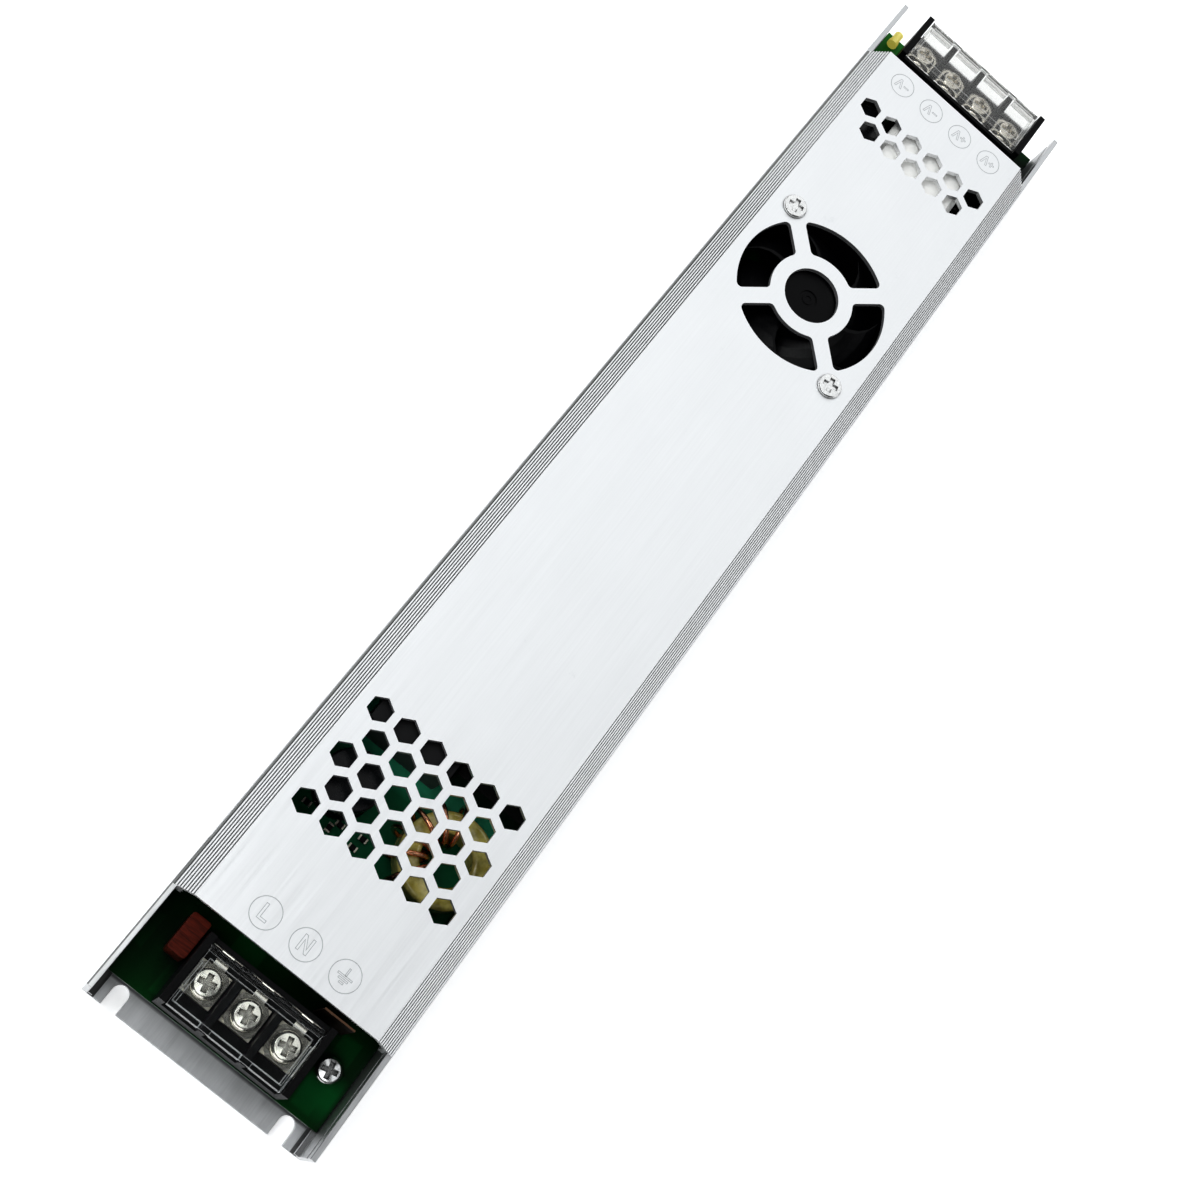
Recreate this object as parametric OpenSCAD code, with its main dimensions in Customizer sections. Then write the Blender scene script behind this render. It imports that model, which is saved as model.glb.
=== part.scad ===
// Slim LED power supply: an extruded channel with a ribbed cover, a fan and a screw terminal at each end.
// X runs across the case, Y from the input end to the output end, Z up from the underside.

/* [Base channel] */
// Length of the channel
base_l = 308; // [296:1:330]
// Width over the side walls
base_w = 53; // [52:0.5:60]
// Thickness of the side walls
wall_t = 1.2; // [1:0.1:1.5]
// Thickness of the floor
floor_t = 1.5; // [1.2:0.1:2]
// Height of the closed case
case_h = 22; // [21.6:0.2:26]
// How far the board ledges stand out from the walls
ledge_w = 1; // [0.8:0.1:1.4]
// Thickness of the board ledges
ledge_t = 1.2; // [0.8:0.1:1.6]
// Distance of a mounting slot from the side of the case
slot_edge = 6.3; // [5:0.1:9]
// Width of a mounting slot
slot_w = 3.6; // [3.2:0.1:4]
// Depth of a mounting slot from the end of the floor
slot_d = 5.2; // [4:0.1:6]

/* [Cover] */
// Uncovered length at the input end
near_open = 23.2; // [22.6:0.1:26]
// Uncovered length at the output end
far_open = 20.2; // [19.6:0.1:24]
// Thickness of the cover
cover_t = 1.2; // [1:0.1:1.4]
// Width of each ribbed chamfer, seen from above
chamfer_w = 4.55; // [4:0.05:5.2]
// Height of the ribbed chamfers
chamfer_drop = 5.2; // [4.6:0.1:6]
// Depth of the legs inside the walls
leg_h = 3.8; // [3:0.1:4.4]
// Gap between the cover and the walls
slide_gap = 0.15; // [0.1:0.05:0.2]
// Number of grooves in each chamfer
groove_n = 8; // [5:1:8]
// Plain strip above the first groove
groove_top = 0.15; // [0.1:0.05:0.3]
// Width of a groove
groove_w = 0.42; // [0.3:0.02:0.5]
// Depth of a groove
groove_d = 0.34; // [0.2:0.02:0.45]
// Height of the bead that holds the cover in the walls
bead_h = 0.8; // [0.5:0.1:1]
// Depth of the bead
bead_d = 0.4; // [0.3:0.05:0.5]

/* [Vents] */
// Spacing of the vent holes
vent_pitch = 6.74; // [6:0.02:7.2]
// Width of a vent hole across its flats
vent_af = 4.9; // [4:0.1:5.4]
// First vent row from the cover's input edge
near_vent_y = 26.4; // [20:0.2:40]
// First vent row from the cover's output edge
far_vent_y = 17.8; // [14:0.2:20]

/* [Fan] */
// Width of the fan frame
fan_w = 40; // [38:0.5:42]
// Thickness of the fan frame
fan_t = 10; // [10:0.1:10.6]
// Distance of the fan's corner holes from its sides
fan_hole_in = 4; // [3.5:0.1:4.5]
// Radius of the fan's corner holes
fan_hole_r = 2.15; // [1.8:0.05:2.4]
// Fan centre from the cover's output edge
fan_y = 71.8; // [66:0.2:76]
// Thinnest wall of the fan frame beside the duct
duct_wall = 0.8; // [0.8:0.1:1.4]
// How far the grille openings stay inside the duct
grille_gap = 0.2; // [0.1:0.1:1]
// Inner radius of the grille openings
grille_in_r = 10.6; // [9.5:0.1:12]
// Radius of the hole in the middle of the grille
eye_r = 6.9; // [5:0.1:8]
// Width of the grille spokes
spoke_w = 4; // [3:0.1:5]
// Corner radius of the grille openings
grille_corner_r = 1.2; // [0.6:0.1:1.6]
// Radius of the rotor hub
hub_r = 8.3; // [8:0.1:9]
// Number of blades
blade_n = 7; // [5:1:9]
// Gap between the blade tips and the duct
tip_gap = 0.8; // [0.5:0.1:1.2]
// Radius of the rotor shaft
shaft_r = 1; // [0.8:0.05:1.2]
// Diameter of a fan screw head
fan_head_d = 6; // [5.2:0.1:6.4]
// Height of a fan screw head
fan_head_h = 0.9; // [0.6:0.1:1.4]
// Radius of a fan screw shank
fan_shank_r = 1.5; // [1.2:0.05:1.6]
// Gap between the fan nuts and the board
nut_gap = 1.2; // [0.8:0.1:2]

/* [Board] */
// Space under the board
board_gap = 3.5; // [2.6:0.1:3.8]
// Thickness of the board
board_t = 1.6; // [1.2:0.1:2]
// Gap between the board and the walls
board_side_gap = 0.3; // [0.2:0.1:0.6]
// Board edge from the input end of the floor
board_near = 5.2; // [5:0.1:5.4]
// Board edge from the output end of the floor
board_far = 0.6; // [0.4:0.1:1]
// Thickness of the insulating sheet
sheet_t = 0.3; // [0.2:0.05:0.5]
// Radius of a board screw shank
board_shank_r = 1.5; // [1.2:0.05:1.6]
// Diameter of a board screw head
board_head_d = 5.6; // [5:0.1:6]
// Height of a board screw head
board_head_h = 2.2; // [1.6:0.1:2.6]
// Width of a standoff across its flats
standoff_af = 5.5; // [5:0.1:6]

/* [Terminals] */
// Spacing of the terminal cells
cell_pitch = 9.5; // [9:0.1:9.8]
// Depth of a terminal block
term_d = 14.8; // [14.8:0.1:15.2]
// Back of the input block from the end of the floor
in_back = 20.2; // [20.1:0.1:20.4]
// Back of the output block from the end of the floor
out_back = 15.4; // [15.3:0.1:15.6]
// Height of the contact seats
seat_h = 6; // [5.4:0.1:6]
// Thickness of the barriers and end walls
barrier_t = 1.5; // [1.2:0.1:1.7]
// Height of the hinge axis above the board
hinge_h = 12; // [12:0.1:12.4]
// Hinge axis from the back of the block
hinge_in = 1.9; // [1.8:0.1:2.2]
// Radius of the hinge rod
rod_r = 0.8; // [0.7:0.05:0.9]
// Radial gap of the hinge rod in its holes
rod_gap = 0.05; // [0.03:0.01:0.08]
// Thickness of the lid plate
lid_t = 1; // [0.8:0.05:1.1]
// Thickness of the lid's front tabs
rim_t = 1.2; // [1:0.1:1.4]
// Height of the lid rims and front tabs
rim_h = 2.5; // [2:0.1:2.5]
// Width of the raised frame round the lid plate
frame_w = 1.1; // [0.8:0.1:1.5]
// Height of the raised frame
frame_d = 0.3; // [0.2:0.05:0.4]
// Gap between a lid and the end walls
lid_gap = 0.3; // [0.2:0.05:0.4]
// Distance of the terminal screws from the back of the block
screw_in = 7.2; // [7:0.1:7.4]
// Radius of a terminal screw shank
screw_r = 1.7; // [1.5:0.05:1.9]
// Diameter of a terminal screw head
head_d = 6; // [5.4:0.1:6.4]
// Height of a terminal screw head
head_h = 2; // [1.6:0.1:2]
// Thickness of a contact plate
contact_t = 1.2; // [1:0.1:1.2]
// Thickness of a clamp plate
clamp_t = 0.8; // [0.6:0.05:0.8]
// Width and length of a clamp plate
clamp_w = 7; // [6.4:0.1:7]
// Radius of a contact pin
pin_r = 0.6; // [0.4:0.05:0.7]

/* [Line parts] */
// Gap between the tall parts and the cover
top_gap = 1.2; // [0.8:0.1:2]
// Gap between the parts and the cover's legs
side_gap = 1.5; // [0.8:0.1:2]
// Length of the fuse
fuse_l = 8.2; // [7:0.1:8.6]
// Width of the fuse
fuse_w = 4.2; // [3.6:0.1:4.4]
// Height of the fuse
fuse_h = 8; // [7:0.1:10]
// Diameter of the surge disc
disc_d = 10; // [8:0.5:12]
// Thickness of the surge disc
disc_t = 4.4; // [3:0.1:5]
// Length of a box capacitor
box_l = 20; // [17:0.5:20.5]
// Width of a box capacitor
box_w = 9; // [7:0.5:10]
// Outer diameter of the line choke core
choke_d = 20; // [17:0.5:20.5]
// Height of the choke cores
core_h = 7; // [6:0.2:7.4]
// Radial width of the choke cores
core_w = 4.6; // [4:0.1:5]
// Radius of the choke wire
wire_r = 0.55; // [0.4:0.05:0.6]
// Width of the bridge rectifier
bridge_w = 18; // [15:0.5:19]
// Length of the bridge rectifier
bridge_l = 12; // [10:0.5:14]
// Height of the bridge rectifier
bridge_h = 9; // [5:0.5:11]
// Diameter of the drum choke
drum_d = 13; // [11:0.5:13.4]
// Height of the drum choke
drum_h = 11; // [9:0.2:12]
// Length of a bulk capacitor
bulk_l = 26; // [22:0.5:28]

/* [Output parts] */
// Width of the transformer core
trafo_w = 30; // [26:0.5:32]
// Length of the transformer core
trafo_l = 30; // [26:0.5:32]
// Width of a power transistor
device_w = 10; // [9:0.2:10.6]
// Thickness of a power transistor
device_t = 4.6; // [4:0.1:4.8]
// Gap between a power transistor and the chamfer above it
device_gap = 0.6; // [0.4:0.1:2]
// Outer diameter of the output choke core
out_choke_d = 20; // [18:0.5:22]
// Diameter of an output capacitor
can_d = 10; // [8:0.1:10.4]
// Width of the heat-spreading block
spreader_w = 24; // [20:0.5:26]
// Length of the heat-spreading block
spreader_l = 14; // [12:0.5:15]
// Length of a control chip
chip_l = 6; // [4:0.5:8]
// Width of a control chip
chip_w = 4; // [3:0.5:5]
// Height of a control chip
chip_h = 1.7; // [1:0.1:2]
// Diameter of the lamp
lamp_d = 2.4; // [2:0.1:2.5]

/* [Hidden] */
$fn = 64;
eps = 0.02;
fit_gap = 0.05;
hole_gap = 0.15;
in_n = 3;
out_n = 4;
in_axis_x = base_w / 2 - wall_t;
wall_h = case_h - chamfer_drop;
cover_near = -base_l / 2 + near_open;
cover_far = base_l / 2 - far_open;
cover_l = cover_far - cover_near;
under_z = case_h - cover_t;
edge_x = base_w / 2 - slide_gap;
leg_x = in_axis_x - slide_gap;
leg_z = wall_h - leg_h;
inside_x = leg_x - cover_t;
flat_w = 2 * (edge_x - chamfer_w);
slant_l = norm([chamfer_w, chamfer_drop]);
slant_a = atan2(chamfer_drop, chamfer_w);
groove_foot = groove_d / tan(slant_a) + 0.2;
groove_pitch = (slant_l - groove_top - groove_foot - groove_w) / (groove_n - 1);
soffit_x = flat_w / 2 - cover_t * tan(slant_a / 2);
soffit_z = under_z - (inside_x - soffit_x) * chamfer_drop / chamfer_w;
bead_z = leg_z + bead_h;
board_z = floor_t + board_gap;
board_top = board_z + board_t;
board_w = base_w - 2 * wall_t - 2 * board_side_gap;
board_y0 = -base_l / 2 + board_near;
board_l = base_l - board_near - board_far;
fan_pos = [0, cover_far - fan_y];
fan_z = under_z - fan_t;
row_step = vent_pitch * sqrt(3) / 2;
fan_hole = fan_w / 2 - fan_hole_in;
duct_r = fan_w / 2 - duct_wall;
grille_r = duct_r - grille_gap;
disc_z = fan_z + 1.6;
hub_top = under_z - 0.6;
hub_z = disc_z + 0.7;
sleeve_r = 2 * shaft_r;
tube_r = sleeve_r + 0.8;
cup_r = hub_r - 1.3;
nut_h = fan_z - board_top - nut_gap;
in_back_y = -base_l / 2 + in_back;
out_back_y = base_l / 2 - out_back;
contact_top = seat_h + contact_t;
head_z = contact_top + clamp_t;
lid_z = hinge_h + rod_r - lid_t;
barrier_h = lid_z - 0.3;
end_h = hinge_h + rod_r + 0.8;
lid_front = term_d - 0.1;
side_rim_t = (cell_pitch - barrier_t) / 2 - lid_gap - head_d / 2 - 0.2;
clamp_tab_w = 2.8;
clamp_tab_l = 1.5;
clamp_round = clamp_w * 0.6;
pin_gap = 4.8;
pin_in = 4.6;
slot_x = base_w / 2 - slot_edge;
in_half = in_n * cell_pitch / 2 + barrier_t / 2;
out_half = out_n * cell_pitch / 2 + barrier_t / 2;
screw_x = (in_half + in_axis_x - ledge_w) / 2;
room_h = under_z - board_top;
near_screw_y = in_back_y - 4.8;
far_screw_y = cover_far - 15;
sheet_w = 2 * in_axis_x - 0.4;
sheet_l = base_l - 2 * slot_d - 8;
fuse_pos = [-in_half - fuse_w / 2 - 0.5, in_back_y - 2.2];
strip_l = 7.2;
strip_t = 0.4;
strip_h = 12.6;
box_h = room_h - top_gap;
bulk_d = room_h - top_gap;
turn_r = norm([core_w, core_h]) / 2 + wire_r - 0.3;
choke_lift = turn_r + wire_r - core_h / 2;
choke_reach = choke_d / 2 - core_w / 2 + turn_r + wire_r;
out_choke_reach = out_choke_d / 2 - core_w / 2 + turn_r + wire_r;
disc_pos = [-(inside_x - side_gap - disc_d / 2), cover_near + 7];
box_pos_1 = [soffit_x - box_l / 2, cover_near + box_w / 2 + 4];
chain_y0 = box_pos_1[1] + box_w / 2 + 4;
chain_y1 = fan_pos[1] - fan_w / 2;
chain_l = 2 * choke_reach + bridge_l + bulk_l + trafo_l + 2 * out_choke_reach;
part_gap = (chain_y1 - chain_y0 - chain_l) / (5 + 1 / 3);
choke_pos = [inside_x - side_gap - choke_d / 2, chain_y0 + part_gap + choke_reach];
row_y = choke_pos[1] + choke_reach + part_gap / 3;
row_x = 3;
row_gap = 1;
bridge_pos = [row_x + row_gap / 2 + bridge_w / 2, row_y + bridge_l / 2];
box_pos_2 = [row_x - row_gap / 2 - box_l / 2, choke_pos[1] + choke_d / 2 + side_gap + box_w / 2];
drum_pos = [(choke_pos[0] - choke_reach - inside_x) / 2, choke_pos[1]];
bulk_y = row_y + bridge_l + part_gap;
bulk_step = bulk_d + (2 * inside_x - 3 * bulk_d) / 4;
trafo_y = bulk_y + bulk_l + part_gap + trafo_l / 2;
trafo_leg = trafo_w * 0.3;
trafo_side = trafo_w * 0.13;
trafo_end = trafo_l * 0.17;
trafo_x = device_t / 2 + 1;
trafo_lift = 2;
trafo_h = room_h - top_gap - 2 * trafo_lift;
device_h = soffit_z - board_top - device_gap;
device_x = inside_x - 0.4 - device_t / 2;
device_step = device_w + 3;
switch_y = trafo_y - device_step / 2;
out_choke_y = trafo_y + trafo_l / 2 + part_gap + out_choke_reach;
rectifier_y = out_choke_y - device_step / 2;
can_h = room_h - 2 * top_gap;
can_step = can_d + (2 * inside_x - 4 * can_d) / 5;
spreader_h = room_h - top_gap;
spreader_y = cover_far - far_vent_y - row_step / 2 + 1.5;
spreader_x = 2.5;
can_y = spreader_y + spreader_l / 2 + can_d / 2 + 0.8;
can_side_x = spreader_x - spreader_w / 2 - can_d / 2 - 0.6;
lamp_pos = [-(out_half + in_axis_x) / 2, base_l / 2 - board_far];

// Extrudes an X-Z section along Y
module along_y(y0, l) {
    translate([0, y0 + l, 0]) rotate([90, 0, 0]) linear_extrude(l) children();
}

// Rectangle with round corners
module round_rect(w, l, r) {
    square([w - 2 * r, l], center = true);
    square([w, l - 2 * r], center = true);
    for (x = [-1, 1], y = [-1, 1]) translate([x * (w / 2 - r), y * (l / 2 - r)]) circle(r);
}

function polar(r, a) = r * [cos(a), sin(a)];

// Points of an arc
function arc(c, r, a0, a1, n) = [for (i = [0:n]) c + polar(r, a0 + (a1 - a0) * i / n)];

// Place of a terminal cell across the case, counted from the left
function cell_x(n, i) = (i - (n - 1) / 2) * cell_pitch;

// Cross recess of a screw head, cut down from its top
module cross_recess(d, depth) {
    for (a = [0, 90]) rotate(a) translate([0, 0, -depth / 2])
        cube([d * 0.62, d * 0.2, depth + eps], center = true);
}

// Domed screw head with a cross recess
module pan_head(d, h) {
    difference() {
        rotate_extrude($fn = 48) polygon(concat([[0, 0], [d / 2 - 0.15, 0], [d / 2, 0.15]],
            arc([d / 2 - h * 0.7, h * 0.3], h * 0.7, 0, 55, 5), [[d * 0.16, h], [0, h]]));
        translate([0, 0, h]) rotate(12) cross_recess(d, h * 0.6);
    }
}

// Open-ended slot at one end of the floor, with its round end inwards
module end_slot(end) {
    for (s = [-1, 1]) {
        translate([s * slot_x, end * (base_l / 2 - slot_d + slot_w / 2), -eps]) {
            cylinder(d = slot_w, h = floor_t + 2 * eps);
            translate([-slot_w / 2, end > 0 ? 0 : -slot_d, 0]) cube([slot_w, slot_d, floor_t + 2 * eps]);
        }
    }
}

// Channel section: floor, walls with a cover groove, and the board ledges
module channel_section() {
    w = base_w / 2;
    difference() {
        translate([-w, 0]) square([base_w, wall_h]);
        translate([-in_axis_x, floor_t]) square([2 * in_axis_x, wall_h]);
        for (s = [-1, 1]) {
            translate([s * in_axis_x, bead_z])
                square([2 * (bead_d - slide_gap) + 0.3, bead_h + 0.3], center = true);
        }
    }
    for (s = [-1, 1]) {
        translate([s * (in_axis_x - ledge_w / 2), board_z - ledge_t / 2])
            square([ledge_w + eps, ledge_t], center = true);
    }
}

module base_channel() {
    color("lightgray") difference() {
        along_y(-base_l / 2, base_l) channel_section();
        end_slot(1);
        end_slot(-1);
    }
}

// Outer outline of one side of the cover: chamfer, rim on the wall, and leg with its bead
function cover_side(s) = [[s * flat_w / 2, case_h], [s * edge_x, wall_h], [s * leg_x, wall_h],
    [s * leg_x, bead_z + bead_h / 2], [s * (leg_x + bead_d), bead_z + bead_h / 4],
    [s * (leg_x + bead_d), bead_z - bead_h / 4], [s * leg_x, bead_z - bead_h / 2], [s * leg_x, leg_z]];

// Cover section: flat top, grooved chamfers and legs
module cover_section() {
    left = cover_side(-1);
    difference() {
        polygon(concat(cover_side(1), [for (i = [len(left) - 1:-1:0]) left[i]]));
        polygon([[-leg_x + cover_t, leg_z - 1], [-leg_x + cover_t, soffit_z], [-soffit_x, under_z],
            [soffit_x, under_z], [leg_x - cover_t, soffit_z], [leg_x - cover_t, leg_z - 1]]);
        for (s = [0, 1], i = [0:groove_n - 1]) {
            t = groove_top + groove_w / 2 + i * groove_pitch;
            mirror([s, 0]) translate([flat_w / 2, case_h]) rotate(-slant_a) translate([t, 0])
                square([groove_w, 2 * groove_d], center = true);
        }
    }
}

// Rows of hexagon holes: counts per row, first row's place and the way the rows run
module vent_rows(counts, y0, way) {
    for (j = [0:len(counts) - 1], i = [0:counts[j] - 1]) {
        translate([(i - (counts[j] - 1) / 2) * vent_pitch, y0 + way * j * row_step, under_z - eps])
            rotate(30) cylinder(r = vent_af / sqrt(3), h = cover_t + 2 * eps, $fn = 6);
    }
}

// One grille opening: a quarter ring between two spokes, with round corners
module grille_opening() {
    off = spoke_w / 2 + grille_corner_r;
    ro = grille_r - grille_corner_r;
    ri = grille_in_r + grille_corner_r;
    ao = 45 - asin(off / ro);
    ai = 45 - asin(off / ri);
    polygon(concat(
        arc(polar(ro, -ao), grille_corner_r, -135, -ao, 6),
        arc([0, 0], grille_r, -ao, ao, 20),
        arc(polar(ro, ao), grille_corner_r, ao, 135, 6),
        arc(polar(ri, ai), grille_corner_r, 135, 180 + ai, 4),
        arc([0, 0], grille_in_r, ai, -ai, 12),
        arc(polar(ri, -ai), grille_corner_r, 180 - ai, 225, 4)));
}

// Places of the two fan screws, on one diagonal
module at_fan_screws() {
    for (s = [-1, 1]) translate([fan_pos[0] + s * fan_hole, fan_pos[1] - s * fan_hole, 0]) children();
}

module top_cover() {
    color("whitesmoke") difference() {
        along_y(cover_near, cover_l) cover_section();
        vent_rows([6, 5, 6, 5, 6], cover_near + near_vent_y, 1);
        vent_rows([6, 5], cover_far - far_vent_y, -1);
        translate([fan_pos[0], fan_pos[1], under_z - eps]) linear_extrude(cover_t + 2 * eps) {
            for (a = [0, 90, 180, 270]) rotate(a) grille_opening();
        }
        translate([fan_pos[0], fan_pos[1], under_z - eps]) cylinder(r = eye_r, h = cover_t + 2 * eps);
        at_fan_screws() translate([0, 0, under_z - eps])
            cylinder(r = fan_shank_r + hole_gap, h = cover_t + 2 * eps);
    }
}

module at_board_screws() {
    translate([screw_x, near_screw_y, 0]) children();
    translate([screw_x, far_screw_y, 0]) children();
}

module insulating_sheet() {
    color("ivory") difference() {
        translate([-sheet_w / 2, -sheet_l / 2, floor_t]) cube([sheet_w, sheet_l, sheet_t]);
        at_board_screws() translate([0, 0, floor_t - eps])
            cylinder(d = standoff_af / cos(30) + 2 * hole_gap, h = sheet_t + 2 * eps);
    }
}

module circuit_board() {
    color("darkgreen") difference() {
        translate([-board_w / 2, board_y0, board_z]) cube([board_w, board_l, board_t]);
        at_board_screws() translate([0, 0, board_z - eps])
            cylinder(r = board_shank_r + hole_gap, h = board_t + 2 * eps);
        at_input() pin_holes(in_n);
        at_output() pin_holes(out_n);
    }
}

module board_standoffs() {
    color("silver") at_board_screws() translate([0, 0, floor_t]) difference() {
        cylinder(d = standoff_af / cos(30), h = board_gap, $fn = 6);
        translate([0, 0, 0.6]) cylinder(r = board_shank_r + fit_gap, h = board_gap);
    }
}

module board_screws() {
    color("silver") at_board_screws() {
        translate([0, 0, board_z - board_gap * 0.7])
            cylinder(r = board_shank_r, h = board_gap * 0.7 + board_t);
        translate([0, 0, board_top]) pan_head(board_head_d, board_head_h);
    }
}

// Terminal blocks are drawn with their back at Y 0, facing +Y, standing on the board
module at_output() {
    translate([0, out_back_y, board_top]) children();
}

module at_input() {
    translate([0, in_back_y, board_top]) rotate(180) children();
}

module at_pins(n) {
    for (i = [0:n - 1], s = [-1, 1]) translate([cell_x(n, i) + s * pin_gap / 2, pin_in, 0]) children();
}

module pin_holes(n) {
    at_pins(n) translate([0, 0, -board_t - eps])
        cylinder(r = pin_r + hole_gap, h = board_t + 2 * eps, $fn = 24);
}

// Black block with cells, barriers and hinge holes
module terminal_block(n) {
    half = n * cell_pitch / 2 + barrier_t / 2;
    difference() {
        union() {
            translate([-half, 0, 0]) cube([2 * half, term_d, seat_h]);
            translate([-half, 0, 0]) cube([2 * half, hinge_in - rod_r - 0.2, hinge_h - 0.1]);
            for (k = [0:n]) {
                translate([(k - n / 2) * cell_pitch - barrier_t / 2, 0, 0]) {
                    if (k == 0 || k == n) cube([barrier_t, term_d, end_h]);
                    else translate([0, hinge_in + rod_r + 0.3, 0])
                        cube([barrier_t, term_d - hinge_in - rod_r - 0.3, barrier_h]);
                }
            }
        }
        translate([-half - eps, hinge_in, hinge_h]) rotate([0, 90, 0])
            cylinder(r = rod_r + rod_gap, h = 2 * half + 2 * eps, $fn = 32);
        for (i = [0:n - 1]) {
            translate([cell_x(n, i), screw_in, 1.5]) cylinder(r = screw_r + 0.4, h = seat_h, $fn = 32);
        }
        at_pins(n) translate([0, 0, -eps]) cylinder(r = pin_r + fit_gap, h = seat_h + 2 * eps, $fn = 24);
    }
}

// Contact plates with a threaded hole and two board pins each
module terminal_contacts(n) {
    back = pin_in - pin_r - 0.3;
    l = screw_in + clamp_w / 2 - back;
    for (i = [0:n - 1]) translate([cell_x(n, i), 0, seat_h]) difference() {
        translate([-clamp_w / 2, back, 0]) cube([clamp_w, l, contact_t]);
        translate([0, screw_in, -eps]) cylinder(r = screw_r + fit_gap, h = contact_t + 2 * eps, $fn = 32);
    }
    at_pins(n) translate([0, 0, -board_t - 1])
        cylinder(r = pin_r, h = seat_h + board_t + 1 + eps, $fn = 24);
}

// Clear lid: framed plate on a hinge rod, with side rims and front tabs
module terminal_lid(n) {
    half = n * cell_pitch / 2 - barrier_t / 2 - lid_gap;
    top = lid_z + lid_t;
    tab_w = cell_pitch - barrier_t - 1;
    panel_y = hinge_in + rod_r + frame_w;
    difference() {
        translate([-half, hinge_in, lid_z]) cube([2 * half, lid_front - hinge_in, lid_t]);
        translate([-half + frame_w, panel_y, top - frame_d])
            cube([2 * (half - frame_w), lid_front - frame_w - panel_y, lid_t]);
    }
    for (s = [0, 1]) mirror([s, 0]) translate([half - side_rim_t, hinge_in + 3, top - rim_h])
        cube([side_rim_t, lid_front - hinge_in - 3, rim_h - lid_t + eps]);
    for (i = [0:n - 1]) {
        translate([cell_x(n, i) - tab_w / 2, lid_front - rim_t, top - rim_h])
            cube([tab_w, rim_t, rim_h - lid_t + eps]);
    }
    translate([-half - lid_gap - barrier_t * 0.7, hinge_in, hinge_h]) rotate([0, 90, 0])
        cylinder(r = rod_r, h = 2 * (half + lid_gap + barrier_t * 0.7), $fn = 32);
}

// Clamp plate with rounded corners and a tab at the back
module clamp_plate() {
    w = clamp_w / 2;
    translate([0, screw_in, contact_top]) linear_extrude(clamp_t) {
        translate([-clamp_tab_w / 2, -w - clamp_tab_l]) square([clamp_tab_w, clamp_tab_l + eps]);
        difference() {
            intersection() {
                square(clamp_w, center = true);
                circle(clamp_round);
            }
            circle(screw_r + 0.25, $fn = 32);
        }
    }
}

module terminal_screw() {
    shank_l = head_z - 2.2;
    translate([0, screw_in, head_z]) {
        translate([0, 0, -shank_l]) cylinder(r = screw_r, h = shank_l + eps, $fn = 32);
        pan_head(head_d, head_h);
    }
}

module input_block() { color("#1c1c1c") at_input() terminal_block(in_n); }
module input_contacts() { color("silver") at_input() terminal_contacts(in_n); }
module input_lid() { color("lightcyan", 0.4) at_input() terminal_lid(in_n); }
module input_clamp(i) { color("silver") at_input() translate([-cell_x(in_n, i), 0, 0]) clamp_plate(); }
module input_screw(i) { color("silver") at_input() translate([-cell_x(in_n, i), 0, 0]) terminal_screw(); }
module output_block() { color("#1c1c1c") at_output() terminal_block(out_n); }
module output_contacts() { color("silver") at_output() terminal_contacts(out_n); }
module output_lid() { color("lightcyan", 0.4) at_output() terminal_lid(out_n); }
module output_clamp(i) { color("silver") at_output() translate([cell_x(out_n, i), 0, 0]) clamp_plate(); }
module output_screw(i) { color("silver") at_output() translate([cell_x(out_n, i), 0, 0]) terminal_screw(); }

module at_fan() {
    translate([fan_pos[0], fan_pos[1], 0]) children();
}

// Square frame with a duct, corner holes and a hub plate on struts
module fan_frame() {
    color("#202020") at_fan() {
        translate([0, 0, fan_z]) linear_extrude(fan_t) difference() {
            round_rect(fan_w, fan_w, 3);
            circle(duct_r);
            for (x = [-1, 1], y = [-1, 1]) translate([x, y] * fan_hole) circle(fan_hole_r, $fn = 32);
        }
        translate([0, 0, fan_z]) {
            cylinder(r = hub_r, h = disc_z - fan_z);
            for (a = [30, 150, 270]) rotate(a) translate([0, -1, 0])
                cube([duct_r + 0.4, 2, disc_z - fan_z]);
        }
        translate([0, 0, disc_z - eps]) difference() {
            cylinder(r = tube_r, h = hub_top - 2 - disc_z);
            translate([0, 0, eps]) cylinder(r = sleeve_r + 0.01, h = hub_top);
        }
    }
}

module fan_bearing() {
    color("darkgoldenrod") at_fan() translate([0, 0, disc_z]) difference() {
        cylinder(r = sleeve_r, h = hub_top - 2.2 - disc_z);
        translate([0, 0, -eps]) cylinder(r = shaft_r + 0.03, h = hub_top);
    }
}

// Wound stator: a ring of four poles round the bearing tube
module fan_stator() {
    color("peru") at_fan() translate([0, 0, hub_z + 0.4]) difference() {
        union() {
            cylinder(r = tube_r + 1.4, h = 4);
            for (a = [0:90:270]) rotate(a) intersection() {
                translate([0, -1.6, 0]) cube([cup_r, 3.2, 4]);
                cylinder(r = cup_r - 0.6, h = 4);
            }
        }
        translate([0, 0, -eps]) cylinder(r = tube_r + 0.01, h = 4 + 2 * eps);
    }
}

// Swept blade outline in plan, thin and curved backwards
module blade_plan() {
    r0 = hub_r - 0.4;
    r1 = duct_r - tip_gap;
    n = 5;
    sweep = 26;
    thick = 1.1;
    front = [for (i = [0:n]) polar(r0 + (r1 - r0) * i / n, sweep * pow(i / n, 2))];
    back = [for (i = [n:-1:0]) polar(r0 + (r1 - r0) * i / n, sweep * pow(i / n, 2)) + [0, thick]];
    polygon(concat(front, back));
}

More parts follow.
